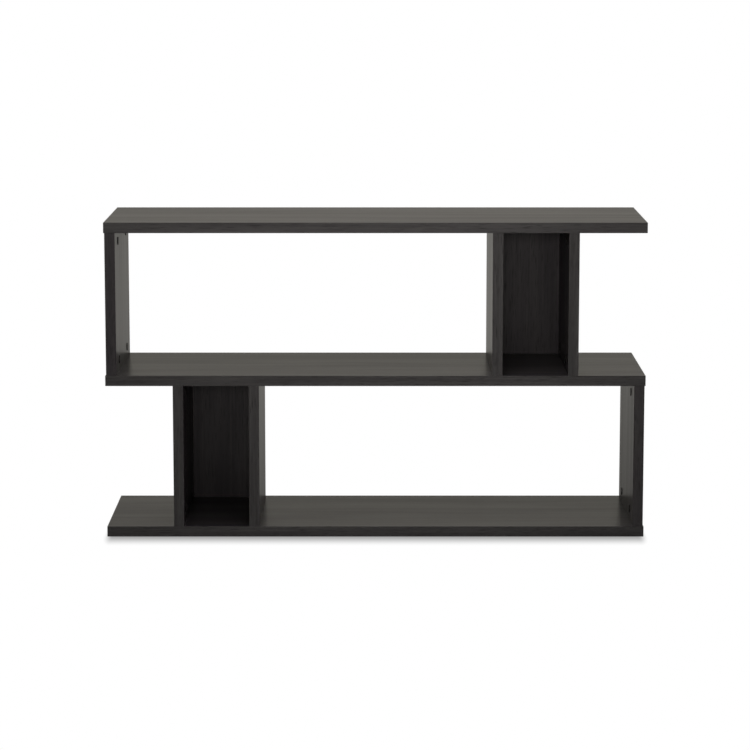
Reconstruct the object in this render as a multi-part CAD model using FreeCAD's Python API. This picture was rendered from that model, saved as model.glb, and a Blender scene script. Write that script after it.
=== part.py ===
import FreeCAD, Part
import math
import os

# A low zigzag bookshelf of laminated chipboard. Three long shelves are carried, on each of two levels, by
# one end panel and by a closed niche near the other end. The lower level is the upper one turned half round.
# X runs along the shelves, the front is towards -Y, Z is up, and the origin is on the floor under the middle.

Vector = FreeCAD.Vector

# Boards
shelf_length = 1140.0
shelf_depth = 340.0
board_thickness = 22.0  # of the shelves, end panels and dividers
bay_height = 302.0  # clear height between two shelves
end_reveal = 2.0  # how far a shelf's end stands past the outer face of an end panel
niche_offset = 142.0  # from a shelf's end to the outer face of the niche
niche_width = 138.0  # clear width between the two dividers of a niche
back_thickness = 16.0

# Edging strips
edging = 1.0  # thickness of the strip
arris = 0.7  # radius of the strip's rounded outer edges
rounding_limit_share = 0.9  # most of a thickness that a rounded edge may take

# Cams
cam_inset = 74.0  # from the front or rear of the board to the cam's axis
cam_setback = 24.0  # from the end of the upright to the cam's axis
cam_diameter = 15.0
cam_floor = 5.0  # depth of the cam's bore below the bolt's axis
cam_recess = 0.4  # how far the cam's face lies below the board's face
cam_turn = 120.0  # degrees from the slot's wide mouth to its locked end
driver_slot_length = 8.0
driver_slot_width = 1.5
driver_slot_depth = 3.5

# Cam covers, pressed into the cams
cover_diameter = 17.0
cover_thickness = 1.5  # what stands out of the board's face
cover_rounding = 0.9  # radius of the rim's outer edge

# Cam bolts
thread_diameter = 6.0
thread_length = 11.0  # what is screwed into the shelf
collar_diameter = 7.4
collar_length = 3.0
shank_diameter = 5.6
neck_diameter = 3.6  # what the cam's slot grips
head_diameter = 6.6
head_length = 4.0
bolt_chamfer = 0.6

# Dowels
dowel_diameter = 8.0
dowel_length = 30.0
dowel_in_face = 10.0  # the part in the shelf's or divider's face, the rest is in a board's end
dowel_chamfer = 1.0
dowel_spacing = 32.0  # from a cam's axis to the dowel beside it
back_dowel_inset = 60.0  # from the top or bottom of a niche back to its dowels

# Clearances
fit_clearance = 0.1  # all round a dowel, a thread and a cam
bolt_clearance = 0.3  # all round a bolt's collar
cam_room = 0.4  # round a bolt's neck and head inside the cam
plug_clearance = 0.15  # round a cover's plug in the cam's driver slots
hole_end_room = 0.5  # past the end of a dowel or thread
cut_overrun = 1.0  # how far a cut starts outside the face that it enters

# Places that several pieces share
half_length = shelf_length / 2
half_depth = shelf_depth / 2
bolt_axis_depth = board_thickness / 2
level_height = board_thickness + bay_height
shelf_names = ["bottom_shelf", "middle_shelf", "top_shelf"]
shelf_bottoms = [0, level_height, 2 * level_height]
cam_bore_depth = bolt_axis_depth + cam_floor

UP = Vector(0, 0, 1)
RIGHT = Vector(1, 0, 0)
BACK = Vector(0, 1, 0)


def box(low, high):
    """A block between two opposite corners."""
    size = high - low
    return Part.makeBox(size.x, size.y, size.z, low)


def turned_profile(outline):
    """A solid of revolution about Z, from (radius, height) points that start and end on the axis."""
    points = [Vector(radius, 0, height) for radius, height in outline]
    face = Part.Face(Part.makePolygon(points + points[:1]))
    return face.revolve(Vector(), UP, 360)


def hole(diameter, mouth, into, depth):
    """A round cut that enters a face at mouth."""
    start = mouth - into * cut_overrun
    return Part.makeCylinder(diameter / 2, depth + cut_overrun, start, into)


def cross(length, width, low, high):
    """Two crossed blocks about Z, as a cross-head driver cuts or fills."""
    bar = box(Vector(-length / 2, -width / 2, low), Vector(length / 2, width / 2, high))
    other_bar = bar.copy()
    other_bar.rotate(Vector(), UP, 90)
    return bar.fuse(other_bar)


def cam_body():
    """A cam with its face at height zero and its body along Z. The bolt comes in along X."""
    height = cam_bore_depth - cam_recess
    axis_height = bolt_axis_depth - cam_recess
    head_room = head_diameter / 2 + cam_room
    neck_room = neck_diameter / 2 + cam_room
    hollow_radius = math.hypot(head_length, head_diameter) / 2 + cam_room
    reach = cam_diameter / 2 + cut_overrun
    bolt_point = Vector(0, 0, axis_height)
    mouth_way = FreeCAD.Rotation(UP, cam_turn).multVec(RIGHT)

    body = Part.makeCylinder(cam_diameter / 2, height)
    hollow = Part.makeCylinder(hollow_radius, 2 * head_room, bolt_point - UP * head_room)
    locked_end = Part.makeCylinder(neck_room, reach, bolt_point, RIGHT)
    slot = Part.makeCylinder(reach, 2 * neck_room, bolt_point - UP * neck_room, UP, cam_turn)
    mouth = Part.makeCylinder(head_room, reach, bolt_point, mouth_way)
    driver_slots = cross(driver_slot_length, driver_slot_width, -cut_overrun, driver_slot_depth)
    return body.cut([hollow, locked_end, slot, mouth, driver_slots])


def cover_body():
    """A cam's cover, with the board's face at height zero, its cap below and its plug along Z."""
    cap = Part.makeCylinder(cover_diameter / 2, cover_thickness, -UP * cover_thickness)
    rim = [edge for edge in cap.Edges if edge.CenterOfMass.z < -cover_thickness / 2]
    rounded_cap = cap.makeFillet(min(cover_rounding, cover_thickness * rounding_limit_share), rim)
    plug_length = driver_slot_length - 2 * plug_clearance
    plug_width = driver_slot_width - 2 * plug_clearance
    plug_end = cam_recess + driver_slot_depth - hole_end_room
    return rounded_cap.fuse(cross(plug_length, plug_width, 0, plug_end))


def bolt_body():
    """A cam bolt along Z, with the shelf's face at height zero and its thread below."""
    thread = thread_diameter / 2
    collar = collar_diameter / 2
    shank = shank_diameter / 2
    neck = neck_diameter / 2
    head = head_diameter / 2
    shank_end = cam_setback - cam_diameter / 2 - cam_room
    head_start = cam_setback - head_length / 2
    head_end = cam_setback + head_length / 2
    return turned_profile(
        [
            (0, -thread_length),
            (thread - bolt_chamfer, -thread_length),
            (thread, bolt_chamfer - thread_length),
            (thread, 0),
            (collar, 0),
            (collar, collar_length),
            (shank, collar_length),
            (shank, shank_end),
            (neck, shank_end),
            (neck, head_start),
            (head, head_start),
            (head, head_end - bolt_chamfer),
            (head - bolt_chamfer, head_end),
            (0, head_end),
        ]
    )


def dowel_body():
    """A dowel along Z, with the face that it enters at height zero and the board's end above."""
    radius = dowel_diameter / 2
    low = -dowel_in_face
    high = dowel_length - dowel_in_face
    return turned_profile(
        [
            (0, low),
            (radius - dowel_chamfer, low),
            (radius, low + dowel_chamfer),
            (radius, high - dowel_chamfer),
            (radius - dowel_chamfer, high),
            (0, high),
        ]
    )


CAM = cam_body()
COVER = cover_body()
BOLT = bolt_body()
DOWEL = dowel_body()


def placed(shape, place, turn):
    """A copy of a fitting, turned and put in its place."""
    copy = shape.copy()
    copy.Placement = FreeCAD.Placement(place, turn)
    return copy


def edging_strip(low, high, outward, ends_show=False):
    """A strip whose outer long edges are rounded, and its end edges too where these show."""
    strip = box(low, high)
    centre = strip.BoundBox.Center
    rounded = []
    for edge in strip.Edges:
        off_glued_face = (edge.CenterOfMass - centre).dot(outward) > -edging / 4
        runs_along = edge.Length > board_thickness
        if off_glued_face and (runs_along or ends_show):
            rounded.append(edge)
    return strip.makeFillet(min(arris, edging * rounding_limit_share), rounded)


pieces = {}
cuts = {}


def drill(board_name, cut):
    """Keep a cut for the board that it goes into."""
    cuts.setdefault(board_name, []).append(cut)


def dowel_joint(place, into_end, face_board, end_board):
    """A dowel at a point of the face it enters, with its two holes. into_end points into the other board."""
    hole_diameter = dowel_diameter + 2 * fit_clearance
    in_end = dowel_length - dowel_in_face
    drill(face_board, hole(hole_diameter, place, -into_end, dowel_in_face + hole_end_room))
    drill(end_board, hole(hole_diameter, place, into_end, in_end + hole_end_room))
    return placed(DOWEL, place, FreeCAD.Rotation(UP, into_end))


def cam_joint(place, into_end, cam_face, shelf, upright):
    """The cam, its cover and its bolt at a point of a shelf's face, with their holes.
    into_end points into the upright, and cam_face out of the side where the cam shows."""
    thread_hole = thread_diameter + 2 * fit_clearance
    bolt_hole = collar_diameter + 2 * bolt_clearance
    cam_bore = cam_diameter + 2 * fit_clearance
    cam_mouth = place + into_end * cam_setback + cam_face * bolt_axis_depth
    into_board = -cam_face
    to_bolt = -into_end
    drill(shelf, hole(thread_hole, place, to_bolt, thread_length + hole_end_room))
    drill(upright, hole(bolt_hole, place, into_end, cam_setback))
    drill(upright, hole(cam_bore, cam_mouth, into_board, cam_bore_depth))
    bolt = placed(BOLT, place, FreeCAD.Rotation(UP, into_end))
    cam_turned = FreeCAD.Rotation(to_bolt, into_board.cross(to_bolt), into_board, "ZXY")
    cam = placed(CAM, cam_mouth + into_board * cam_recess, cam_turned)
    cover = placed(COVER, cam_mouth, cam_turned)
    return cam, cover, bolt


def make_upright(name, low_x, level, cam_face):
    """An end panel or divider between two shelves, with its edging and fittings."""
    low_z = shelf_bottoms[level] + board_thickness
    high_z = low_z + bay_height
    middle_x = low_x + board_thickness / 2
    inner_y = half_depth - edging
    pieces[name] = box(Vector(low_x, -inner_y, low_z), Vector(low_x + board_thickness, inner_y, high_z))
    pieces[name + "_front_edging"] = edging_strip(
        Vector(low_x, -half_depth, low_z), Vector(low_x + board_thickness, -inner_y, high_z), -BACK
    )
    pieces[name + "_rear_edging"] = edging_strip(
        Vector(low_x, inner_y, low_z), Vector(low_x + board_thickness, half_depth, high_z), BACK
    )
    cams = []
    covers = []
    bolts = []
    dowels = []
    for shelf, end_z, into_end in (
        (shelf_names[level], low_z, UP),
        (shelf_names[level + 1], high_z, -UP),
    ):
        for side in (-1, 1):
            cam_y = side * (half_depth - cam_inset)
            place = Vector(middle_x, cam_y, end_z)
            cam, cover, bolt = cam_joint(place, into_end, cam_face, shelf, name)
            cams.append(cam)
            covers.append(cover)
            bolts.append(bolt)
            dowel_y = cam_y - side * dowel_spacing
            dowels.append(dowel_joint(Vector(middle_x, dowel_y, end_z), into_end, shelf, name))
    pieces[name + "_cams"] = Part.makeCompound(cams)
    pieces[name + "_cam_covers"] = Part.makeCompound(covers)
    pieces[name + "_cam_bolts"] = Part.makeCompound(bolts)
    pieces[name + "_dowels"] = Part.makeCompound(dowels)


def make_niche_back(name, low_x, level, left_divider, right_divider):
    """The panel that closes a niche behind, flush with the shelves' rear. Its dowels are returned."""
    low_z = shelf_bottoms[level] + board_thickness
    high_z = low_z + bay_height
    high_x = low_x + niche_width
    low_y = half_depth - back_thickness
    middle_y = half_depth - back_thickness / 2
    pieces[name] = box(Vector(low_x, low_y, low_z), Vector(high_x, half_depth, high_z))
    dowels = []
    for divider, face_x, into_back in ((left_divider, low_x, RIGHT), (right_divider, high_x, -RIGHT)):
        for dowel_z in (low_z + back_dowel_inset, high_z - back_dowel_inset):
            place = Vector(face_x, middle_y, dowel_z)
            dowels.append(dowel_joint(place, into_back, divider, name))
    return dowels


def make_shelf(name, low_z):
    """A long shelf with edging on its four sides."""
    high_z = low_z + board_thickness
    inner_x = half_length - edging
    inner_y = half_depth - edging
    pieces[name] = box(Vector(-inner_x, -inner_y, low_z), Vector(inner_x, inner_y, high_z))
    pieces[name + "_front_edging"] = edging_strip(
        Vector(-half_length, -half_depth, low_z), Vector(half_length, -inner_y, high_z), -BACK, True
    )
    pieces[name + "_rear_edging"] = edging_strip(
        Vector(-half_length, inner_y, low_z), Vector(half_length, half_depth, high_z), BACK, True
    )
    pieces[name + "_left_edging"] = edging_strip(
        Vector(-half_length, -inner_y, low_z), Vector(-inner_x, inner_y, high_z), -RIGHT
    )
    pieces[name + "_right_edging"] = edging_strip(
        Vector(inner_x, -inner_y, low_z), Vector(half_length, inner_y, high_z), RIGHT
    )


# Shelves, from the floor up
for shelf_name, shelf_bottom in zip(shelf_names, shelf_bottoms):
    make_shelf(shelf_name, shelf_bottom)

# Upper level: the end panel is at the left and the niche near the right
end_x = end_reveal - half_length
far_divider_x = half_length - niche_offset - board_thickness
near_divider_x = far_divider_x - niche_width - board_thickness
make_upright("upper_left_end_panel", end_x, 1, RIGHT)
make_upright("upper_niche_left_divider", near_divider_x, 1, RIGHT)
make_upright("upper_niche_right_divider", far_divider_x, 1, -RIGHT)
upper_back_dowels = make_niche_back(
    "upper_niche_back",
    near_divider_x + board_thickness,
    1,
    "upper_niche_left_divider",
    "upper_niche_right_divider",
)

# Lower level: the same, turned half round about Y
make_upright("lower_right_end_panel", -end_x - board_thickness, 0, -RIGHT)
make_upright("lower_niche_left_divider", -far_divider_x - board_thickness, 0, RIGHT)
make_upright("lower_niche_right_divider", -near_divider_x - board_thickness, 0, -RIGHT)
lower_back_dowels = make_niche_back(
    "lower_niche_back",
    -far_divider_x,
    0,
    "lower_niche_left_divider",
    "lower_niche_right_divider",
)

pieces["niche_back_dowels"] = Part.makeCompound(upper_back_dowels + lower_back_dowels)

# The holes go in once every joint is known
for board_name, board_cuts in cuts.items():
    pieces[board_name] = pieces[board_name].cut(board_cuts)

os.makedirs("parts", exist_ok=True)
for piece_name, piece in pieces.items():
    piece.exportStep("parts/" + piece_name + ".step")
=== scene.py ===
import math

import bpy
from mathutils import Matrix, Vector


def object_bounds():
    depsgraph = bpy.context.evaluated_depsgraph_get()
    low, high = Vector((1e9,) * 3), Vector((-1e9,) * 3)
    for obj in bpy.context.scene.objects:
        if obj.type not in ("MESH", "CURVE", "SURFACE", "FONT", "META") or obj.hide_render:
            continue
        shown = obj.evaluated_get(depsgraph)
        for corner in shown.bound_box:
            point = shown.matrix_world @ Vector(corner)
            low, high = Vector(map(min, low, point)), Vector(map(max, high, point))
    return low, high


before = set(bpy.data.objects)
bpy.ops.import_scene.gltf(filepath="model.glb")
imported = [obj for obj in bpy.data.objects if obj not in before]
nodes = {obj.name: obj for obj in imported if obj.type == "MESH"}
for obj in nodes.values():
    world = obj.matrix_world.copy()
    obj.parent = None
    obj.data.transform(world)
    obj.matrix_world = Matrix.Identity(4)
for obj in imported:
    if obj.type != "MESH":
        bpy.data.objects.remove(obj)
cad_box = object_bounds()

# Shelves: three long boards of chipboard with melamine paper pressed on both faces. The paper is printed as
# black-brown oak with its grain along the board, and embossed with the oak's pores. The saw cuts and the
# bored holes show the chips, but all of them are covered or inside.
SHELVES = ("bottom_shelf", "middle_shelf", "top_shelf")
X, Y, Z = 0, 1, 2


def linear(hex_colour):
    """An sRGB hex colour as the linear colour that a shader takes."""
    shares = [int(hex_colour[start:start + 2], 16) / 255 for start in (1, 3, 5)]
    shares = [share / 12.92 if share <= 0.04045 else ((share + 0.055) / 1.055) ** 2.4 for share in shares]
    return shares + [1]


def add_node(tree, kind, inputs, output=None, **options):
    """Add a node. Each input, by its name or number, is given a value, or another node's output to link to.
    The output of the given name is returned, or else the first one."""
    node = tree.nodes.new(kind)
    for option, setting in options.items():
        setattr(node, option, setting)
    sockets = dict(enumerate(node.inputs))
    sockets.update((socket.name, socket) for socket in node.inputs if socket.enabled)
    for name, value in inputs.items():
        if isinstance(value, bpy.types.NodeSocket):
            tree.links.new(value, sockets[name])
        else:
            sockets[name].default_value = value
    return next((found for found in node.outputs if found.enabled and output in (None, found.name)), None)


def new_material(name):
    """A material with nothing in its node tree yet."""
    material = bpy.data.materials.new(name)
    material.use_nodes = True
    material.node_tree.nodes.clear()
    return material, material.node_tree


def dress(names, material):
    """Give the named pieces their finish."""
    for name in names:
        for slot in nodes[name].material_slots:
            slot.material = material


# The oak's markings, with lengths and widths in metres, and the levels of the noise between which each fades
# in. Real pores are 0.3 mm wide and the fibres about 1 mm, too fine for a picture of the whole bookshelf, so
# both are drawn wider.
OAK_MARKINGS = {
    "figure": {"length": 0.6, "width": 0.045, "detail": 2, "distortion": 0.5, "levels": (0.3, 0.7)},
    "fibres": {"length": 0.24, "width": 0.004, "detail": 3, "distortion": 0.2, "levels": (0.45, 0.8)},
    "pores": {"length": 0.03, "width": 0.0016, "detail": 1, "distortion": 0, "levels": (0.58, 0.7)},
}
BOARD_INKS = {"ground": "#232022", "figure": "#2c292a", "fibres": "#322f2f", "pores": "#1b1819"}

# The clear resin that soaks the paper cures to a thin skin over the print. The shares are how much of it is
# smooth enough to shine, first in the oak's porous bands and then in the figure between them.
SKIN_SHARES = (0.45, 0.54)
SKIN_ROUGHNESS = 0.28
RESIN_IOR = 1.5
PORE_DEPTH = 0.0001


def oak_print(tree, grain_axis, inks, skin_shares):
    """The print's colour, the share of its skin that shines, and its embossed pores, from 0 on the surface
    to 1 at their bottom."""
    place = add_node(tree, "ShaderNodeTexCoord", {}, output="Object")
    colour = linear(inks["ground"])
    covers = {}
    for marking, shape in OAK_MARKINGS.items():
        size = [shape["width"]] * 3
        size[grain_axis] = shape["length"]
        grain = add_node(tree, "ShaderNodeMapping", {"Vector": place, "Scale": size}, vector_type="TEXTURE")
        noise = add_node(
            tree,
            "ShaderNodeTexNoise",
            {"Vector": grain, "Scale": 1, "Detail": shape["detail"], "Distortion": shape["distortion"]},
        )
        start, full = shape["levels"]
        cover = add_node(tree, "ShaderNodeMapRange", {"Value": noise, "From Min": start, "From Max": full})
        ink = linear(inks[marking])
        colour = add_node(tree, "ShaderNodeMix", {"Factor": cover, "A": colour, "B": ink}, data_type="RGBA")
        covers[marking] = cover
    porous, smooth = skin_shares
    skin = add_node(
        tree, "ShaderNodeMapRange", {"Value": covers["figure"], "To Min": porous, "To Max": smooth}
    )
    return colour, skin, covers["pores"]


def clear_skin(tree, colour, skin, pores, embossing):
    """Close a print under its clear skin, which dips into the pores and gives all of its shine."""
    relief = add_node(
        tree,
        "ShaderNodeBump",
        {"Height": pores, "Strength": embossing, "Distance": PORE_DEPTH},
        invert=True,
    )
    shader = add_node(
        tree,
        "ShaderNodeBsdfPrincipled",
        {
            "Base Color": colour,
            "Normal": relief,
            "Specular IOR Level": 0,
            "Coat Weight": skin,
            "Coat Roughness": SKIN_ROUGHNESS,
            "Coat IOR": RESIN_IOR,
            "Coat Normal": relief,
        },
    )
    add_node(tree, "ShaderNodeOutputMaterial", {"Surface": shader})


# A surface is papered where it faces the way that the board does. Below the first of these cosines it is
# bare chips, and above the second it is all paper.
CHIPS_BELOW = 0.98
PAPER_ABOVE = 0.99
CHIP_SIZE = 0.003
CHIP_LIGHT = linear("#b8976a")
CHIP_DARK = linear("#85663f")
BOARD_EMBOSSING = 0.25


def melamine_board(name, grain_axis, face_axis, skin_shares=SKIN_SHARES):
    """Satin melamine paper, dark and even, whose shine comes up only at a low angle. Off the two faces it
    gives way to the pale speckled chipboard."""
    material, tree = new_material(name)
    print_colour, skin, pores = oak_print(tree, grain_axis, BOARD_INKS, skin_shares)

    place = add_node(tree, "ShaderNodeTexCoord", {}, output="Object")
    chips = add_node(
        tree, "ShaderNodeTexVoronoi", {"Vector": place, "Scale": 1 / CHIP_SIZE}, output="Color"
    )
    chip_shade = add_node(tree, "ShaderNodeSeparateColor", {"Color": chips})
    chip_colour = add_node(
        tree, "ShaderNodeMix", {"Factor": chip_shade, "A": CHIP_DARK, "B": CHIP_LIGHT}, data_type="RGBA"
    )
    facing = add_node(tree, "ShaderNodeNewGeometry", {}, output="True Normal")
    facing = add_node(tree, "ShaderNodeSeparateXYZ", {"Vector": facing}, output="XYZ"[face_axis])
    facing = add_node(tree, "ShaderNodeMath", {0: facing}, operation="ABSOLUTE")
    on_face = add_node(
        tree, "ShaderNodeMapRange", {"Value": facing, "From Min": CHIPS_BELOW, "From Max": PAPER_ABOVE}
    )
    colour = add_node(
        tree, "ShaderNodeMix", {"Factor": on_face, "A": chip_colour, "B": print_colour}, data_type="RGBA"
    )
    clear_skin(tree, colour, skin, pores, BOARD_EMBOSSING)
    return material


dress(SHELVES, melamine_board("melamine_board_grain_across", X, Z))

# End panels and dividers: six upright boards of the same melamine-faced chipboard, sawn with the grain
# upright. Each stands between two shelves on dowels, and is pulled tight by cams. The dividers look shinier
# than the end panels, so more of their skin is smooth.
END_PANELS = ("upper_left_end_panel", "lower_right_end_panel")
DIVIDERS = (
    "upper_niche_left_divider",
    "upper_niche_right_divider",
    "lower_niche_left_divider",
    "lower_niche_right_divider",
)
UPRIGHTS = END_PANELS + DIVIDERS
DIVIDER_SKIN_SHARES = (0.54, 0.65)
dress(END_PANELS, melamine_board("melamine_board_end_panel", Z, X))
dress(DIVIDERS, melamine_board("melamine_board_divider", Z, X, DIVIDER_SKIN_SHARES))

# Niche backs: a thinner melamine-faced board closes each niche behind, with its grain upright.
# It is held by dowels between the two dividers.
NICHE_BACKS = ("upper_niche_back", "lower_niche_back")
dress(NICHE_BACKS, melamine_board("melamine_board_back", Z, Y))

# Edging: 1 mm strips of ABS, printed as the same oak along each strip, and glued over the saw cuts. Their
# outer edges are scraped round. The strips on the end panels are as dark as the boards, and those on the
# shelves and dividers a little paler.
EDGING_INKS = {"ground": "#2a2828", "figure": "#343232", "fibres": "#3b3938", "pores": "#211f1f"}
EDGING_EMBOSSING = 0.2


def abs_edging(name, grain_axis, inks):
    """Printed ABS strip under a clear lacquer. It shines as the boards do, and its pores are shallower."""
    material, tree = new_material(name)
    colour, skin, pores = oak_print(tree, grain_axis, inks, SKIN_SHARES)
    clear_skin(tree, colour, skin, pores, EDGING_EMBOSSING)
    return material


def strips(boards, sides):
    """The names of the strips on these sides of the boards."""
    return [f"{board}_{side}_edging" for board in boards for side in sides]


dress(strips(SHELVES, ("front", "rear")), abs_edging("abs_edging_across", X, EDGING_INKS))
dress(strips(SHELVES, ("left", "right")), abs_edging("abs_edging_on_ends", Y, EDGING_INKS))
dress(strips(DIVIDERS, ("front", "rear")), abs_edging("abs_edging_on_dividers", Z, EDGING_INKS))
dress(strips(END_PANELS, ("front", "rear")), abs_edging("abs_edging_on_end_panels", Z, BOARD_INKS))

# Cams: die-cast zinc drums, four to each upright, sunk in bores behind the covers. Half a turn with a
# screwdriver pulls the bolt in. The casting's skin makes them a dull and slightly cloudy grey.
CAST_GRAIN = 0.0008
CAST_DARK = linear("#8b8d8f")
CAST_LIGHT = linear("#b3b5b6")
CAST_SMOOTHEST = 0.4
CAST_ROUGHEST = 0.6

cam_zinc, tree = new_material("die_cast_zinc")
place = add_node(tree, "ShaderNodeTexCoord", {}, output="Object")
cast = add_node(tree, "ShaderNodeTexNoise", {"Vector": place, "Scale": 1 / CAST_GRAIN, "Detail": 2})
colour = add_node(
    tree, "ShaderNodeMix", {"Factor": cast, "A": CAST_DARK, "B": CAST_LIGHT}, data_type="RGBA"
)
roughness = add_node(
    tree, "ShaderNodeMapRange", {"Value": cast, "To Min": CAST_SMOOTHEST, "To Max": CAST_ROUGHEST}
)
shader = add_node(
    tree, "ShaderNodeBsdfPrincipled", {"Base Color": colour, "Roughness": roughness, "Metallic": 1}
)
add_node(tree, "ShaderNodeOutputMaterial", {"Surface": shader})
dress([f"{upright}_cams" for upright in UPRIGHTS], cam_zinc)

# Cam bolts: steel bolts, turned from bar and plated with zinc, one for each cam. Each is screwed into a
# shelf until its collar stops it. Fine turning marks ring the bright plating.
TURNING_MARK = 0.0006
PLATING_DARK = linear("#a9aeb4")
PLATING_LIGHT = linear("#c9ccd0")
PLATING_SMOOTHEST = 0.25
PLATING_ROUGHEST = 0.4

bolt_steel, tree = new_material("zinc_plated_steel")
place = add_node(tree, "ShaderNodeTexCoord", {}, output="Object")
rings = add_node(
    tree, "ShaderNodeMapping", {"Vector": place, "Scale": (1, 1, TURNING_MARK)}, vector_type="TEXTURE"
)
marks = add_node(tree, "ShaderNodeTexNoise", {"Vector": rings, "Scale": 1, "Detail": 1})
colour = add_node(
    tree, "ShaderNodeMix", {"Factor": marks, "A": PLATING_DARK, "B": PLATING_LIGHT}, data_type="RGBA"
)
roughness = add_node(
    tree, "ShaderNodeMapRange", {"Value": marks, "To Min": PLATING_SMOOTHEST, "To Max": PLATING_ROUGHEST}
)
shader = add_node(
    tree, "ShaderNodeBsdfPrincipled", {"Base Color": colour, "Roughness": roughness, "Metallic": 1}
)
add_node(tree, "ShaderNodeOutputMaterial", {"Surface": shader})
dress([f"{upright}_cam_bolts" for upright in UPRIGHTS], bolt_steel)

# Dowels: 8 mm beech pegs, glued into the ends of the uprights and the sides of the niche backs. They keep
# the boards in line while the cams pull them together.
FLECK_LENGTH = 0.004
FLECK_WIDTH = 0.0006
FLECKS_ABOVE = 0.5
FLECKS_FULL = 0.75
FLECK_DEPTH = 0.0001
FLECK_RELIEF = 0.3
BEECH_PALE = linear("#d2ab7c")
BEECH_FLECK = linear("#9c7144")
BEECH_ROUGHNESS = 0.7


def beech(name, grain_axis):
    """Pale pinkish wood, dry and matt, with short dark flecks along the grain."""
    material, tree = new_material(name)
    size = [FLECK_WIDTH] * 3
    size[grain_axis] = FLECK_LENGTH
    place = add_node(tree, "ShaderNodeTexCoord", {}, output="Object")
    grain = add_node(tree, "ShaderNodeMapping", {"Vector": place, "Scale": size}, vector_type="TEXTURE")
    noise = add_node(tree, "ShaderNodeTexNoise", {"Vector": grain, "Scale": 1, "Detail": 2})
    flecks = add_node(
        tree, "ShaderNodeMapRange", {"Value": noise, "From Min": FLECKS_ABOVE, "From Max": FLECKS_FULL}
    )
    colour = add_node(
        tree, "ShaderNodeMix", {"Factor": flecks, "A": BEECH_PALE, "B": BEECH_FLECK}, data_type="RGBA"
    )
    relief = add_node(
        tree,
        "ShaderNodeBump",
        {"Height": flecks, "Strength": FLECK_RELIEF, "Distance": FLECK_DEPTH},
        invert=True,
    )
    shader = add_node(
        tree,
        "ShaderNodeBsdfPrincipled",
        {"Base Color": colour, "Normal": relief, "Roughness": BEECH_ROUGHNESS},
    )
    add_node(tree, "ShaderNodeOutputMaterial", {"Surface": shader})
    return material


dress([f"{upright}_dowels" for upright in UPRIGHTS], beech("beech_upright", Z))
dress(["niche_back_dowels"], beech("beech_across", X))

# Cam covers: black polypropylene caps, each with a cross plug that is pressed into the driver slots of its
# cam. They are moulded with a fine spark texture, which leaves them almost without shine.
SPARK_GRAIN = 0.0006
SPARK_DEPTH = 0.0001
SPARK_RELIEF = 0.2
COVER_DARK = linear("#151414")
COVER_LIGHT = linear("#1f1d1c")
COVER_SMOOTHEST = 0.4
COVER_ROUGHEST = 0.55
COVER_SHINE = 0.06
POLYPROPYLENE_IOR = 1.49

cover_plastic, tree = new_material("moulded_polypropylene")
place = add_node(tree, "ShaderNodeTexCoord", {}, output="Object")
spark = add_node(tree, "ShaderNodeTexNoise", {"Vector": place, "Scale": 1 / SPARK_GRAIN, "Detail": 1})
colour = add_node(
    tree, "ShaderNodeMix", {"Factor": spark, "A": COVER_DARK, "B": COVER_LIGHT}, data_type="RGBA"
)
roughness = add_node(
    tree, "ShaderNodeMapRange", {"Value": spark, "To Min": COVER_SMOOTHEST, "To Max": COVER_ROUGHEST}
)
relief = add_node(
    tree, "ShaderNodeBump", {"Height": spark, "Strength": SPARK_RELIEF, "Distance": SPARK_DEPTH}
)
shader = add_node(
    tree,
    "ShaderNodeBsdfPrincipled",
    {
        "Base Color": colour,
        "Roughness": roughness,
        "Normal": relief,
        "IOR": POLYPROPYLENE_IOR,
        "Specular IOR Level": COVER_SHINE,
    },
)
add_node(tree, "ShaderNodeOutputMaterial", {"Surface": shader})
dress([f"{upright}_cam_covers" for upright in UPRIGHTS], cover_plastic)

# Studio floor: matt white paper, bright all over but for a painted soft shadow at the foot of the bottom
# shelf, which falls forward. In reflections the paper is warmer, and painted shade makes it darker in front
# than behind.
FLOOR_RADIUS = 80
FLOOR_SIDES = 96
FLOOR_GAP = 0.0002
SHADOW_AHEAD = 0.098
SHADOW_ASIDE = 0.01
SHADOW_UNDER = 0.012
SHADOW_LEVEL = 0.35
DIM_FROM = -0.3
BRIGHT_FROM = 3
DIM_LEVEL = 0.3
BRIGHT_LEVEL = 0.67
PURE_WHITE = linear("#ffffff")
WARM_PAPER = linear("#fffcf4")
PLAIN_PAPER = linear("#e8e8e8")

bpy.ops.object.select_all(action="DESELECT")
bpy.ops.mesh.primitive_circle_add(
    vertices=FLOOR_SIDES, radius=FLOOR_RADIUS, fill_type="NGON", location=(0, 0, -FLOOR_GAP)
)
floor = bpy.context.object
floor.name = "studio_floor"
bpy.ops.object.transform_apply(location=True)


def by_ray(tree, seen, reflected, lighting):
    """The shader that the camera sees, the one that shows in reflections and through clear pieces, or the
    one that lights the object."""
    shader = lighting
    for kind, other in (
        ("Is Transmission Ray", reflected),
        ("Is Glossy Ray", reflected),
        ("Is Camera Ray", seen),
    ):
        ray = add_node(tree, "ShaderNodeLightPath", {}, output=kind)
        shader = add_node(tree, "ShaderNodeMixShader", {0: ray, 1: shader, 2: other})
    return shader
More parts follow.
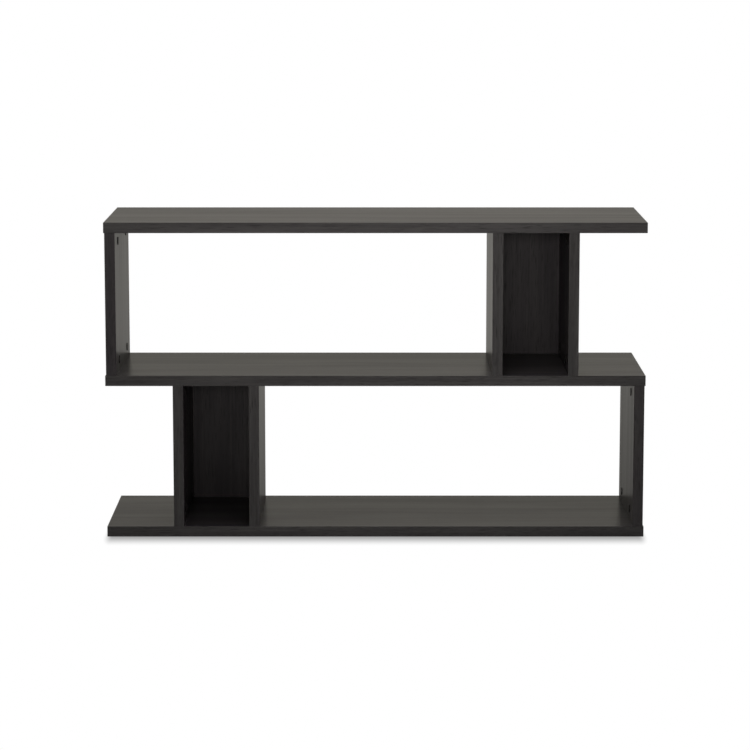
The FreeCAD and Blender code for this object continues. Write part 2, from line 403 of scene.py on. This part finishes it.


# The painted shadow is drawn from the distance to the foot, not cast by a lamp, and fades out past each
# edge.
# The fade past a side and the fade past the front or rear are taken together as one distance, so the
# shadow's corners come out round.
paper, tree = new_material("white_paper_with_painted_shadow")
place = add_node(tree, "ShaderNodeTexCoord", {}, output="Object")
low, high = cad_box
fades = {"X": 0, "Y": 0}
for axis, edge, reach in (
    ("X", low.x, -SHADOW_ASIDE),
    ("X", high.x, SHADOW_ASIDE),
    ("Y", low.y, -SHADOW_AHEAD),
    ("Y", high.y, SHADOW_ASIDE),
):
    across = add_node(tree, "ShaderNodeSeparateXYZ", {"Vector": place}, output=axis)
    under = edge - math.copysign(SHADOW_UNDER, reach)
    fade = add_node(
        tree, "ShaderNodeMapRange", {"Value": across, "From Min": under, "From Max": edge + reach}
    )
    fades[axis] = add_node(tree, "ShaderNodeMath", {0: fades[axis], 1: fade}, operation="ADD")
fade = add_node(tree, "ShaderNodeCombineXYZ", fades)
fade = add_node(tree, "ShaderNodeVectorMath", {0: fade}, output="Value", operation="LENGTH")
shade = add_node(
    tree,
    "ShaderNodeMapRange",
    {"Value": fade, "To Min": SHADOW_LEVEL, "To Max": 1},
    interpolation_type="SMOOTHSTEP",
)
# Painted shade in reflections: the paper seen in reflections is dimmed towards the front by its place alone.
depth = add_node(tree, "ShaderNodeSeparateXYZ", {"Vector": place}, output="Y")
painted_reflection_shade = add_node(
    tree,
    "ShaderNodeMapRange",
    {
        "Value": depth,
        "From Min": DIM_FROM,
        "From Max": BRIGHT_FROM,
        "To Min": DIM_LEVEL,
        "To Max": BRIGHT_LEVEL,
    },
)
brightness = add_node(tree, "ShaderNodeMath", {0: shade, 1: painted_reflection_shade}, operation="MULTIPLY")
seen = add_node(tree, "ShaderNodeEmission", {"Color": PURE_WHITE, "Strength": shade})
reflected = add_node(tree, "ShaderNodeEmission", {"Color": WARM_PAPER, "Strength": brightness})
matt = add_node(tree, "ShaderNodeBsdfDiffuse", {"Color": PLAIN_PAPER})
shader = by_ray(tree, seen, reflected, matt)
add_node(tree, "ShaderNodeOutputMaterial", {"Surface": shader})
floor.data.materials.append(paper)

# Room: white walls to the camera, and a soft even light on the bookshelf. In reflections the walls are warm,
# and darken towards the ceiling.
WARM_WALL = linear("#fffbee")
WALL_LEVEL = 1
CEILING_LEVEL = 0.3
CEILING_RISE = 0.35
ROOM_LIGHT = 0.15

world = bpy.data.worlds.new("white_room")
bpy.context.scene.world = world
world.use_nodes = True
tree = world.node_tree
tree.nodes.clear()
direction = add_node(tree, "ShaderNodeTexCoord", {}, output="Generated")
rise = add_node(tree, "ShaderNodeSeparateXYZ", {"Vector": direction}, output="Z")
level = add_node(
    tree,
    "ShaderNodeMapRange",
    {"Value": rise, "From Max": CEILING_RISE, "To Min": WALL_LEVEL, "To Max": CEILING_LEVEL},
)
seen = add_node(tree, "ShaderNodeBackground", {"Color": PURE_WHITE, "Strength": 1})
reflected = add_node(tree, "ShaderNodeBackground", {"Color": WARM_WALL, "Strength": level})
light = add_node(tree, "ShaderNodeBackground", {"Color": PURE_WHITE, "Strength": ROOM_LIGHT})
shader = by_ray(tree, seen, reflected, light)
add_node(tree, "ShaderNodeOutputWorld", {"Surface": shader})

# Lamps: a softbox overhead, one above the front edge, one beside the camera with a grid that narrows its
# beam, aimed high to fill the upper niche more than the lower, and one at each side and behind, for the
# faces that turn away. Only the room shows in reflections, not the lamps.
MIDDLE = (0, 0, 0.35)
OPEN_SPREAD = 180
GRID_SPREAD = 22
LAMPS = {
    "overhead_softbox": {"place": (0, -0.4, 1.7), "aim": (0, -0.2, 0.5), "size": 0.6, "power": 9},
    "upper_softbox": {"place": (0, -0.95, 1.6), "aim": (0, -0.1, 0.45), "size": 0.5, "power": 4.8},
    "camera_softbox": {
        "place": (-0.1, -6.3, 1.45),
        "aim": (0, 0, 0.9),
        "size": 0.7,
        "power": 4.9,
        "spread": GRID_SPREAD,
    },
    "left_softbox": {"place": (-3.2, 0, 1.3), "aim": MIDDLE, "size": 1.2, "power": 40},
    "right_softbox": {"place": (3.2, 0, 1.3), "aim": MIDDLE, "size": 1.2, "power": 40},
    "rear_softbox": {"place": (0, 3.2, 1.3), "aim": MIDDLE, "size": 1.2, "power": 40},
}
for lamp_name, lamp in LAMPS.items():
    beam = Vector(lamp["aim"]) - Vector(lamp["place"])
    turn = beam.to_track_quat("-Z", "Y").to_euler()
    bpy.ops.object.light_add(type="AREA", location=lamp["place"], rotation=turn)
    softbox = bpy.context.object
    softbox.name = lamp_name
    softbox.visible_glossy = False
    softbox.data.size = lamp["size"]
    softbox.data.energy = lamp["power"]
    softbox.data.spread = math.radians(lamp.get("spread", OPEN_SPREAD))

# Camera: a long lens, straight in front and looking a little down on the top shelf. The Standard view keeps
# the colours as they are lit.
CAMERA_PLACE = (-0.0009, -6.169, 1.274)
CAMERA_DOWN = 8.777
CAMERA_LENS = 138.2

bpy.ops.object.camera_add(location=CAMERA_PLACE, rotation=(math.radians(90 - CAMERA_DOWN), 0, 0))
camera = bpy.context.object
camera.name = "photo_camera"
camera.data.lens = CAMERA_LENS
bpy.context.scene.camera = camera
bpy.context.scene.view_settings.view_transform = "Standard"
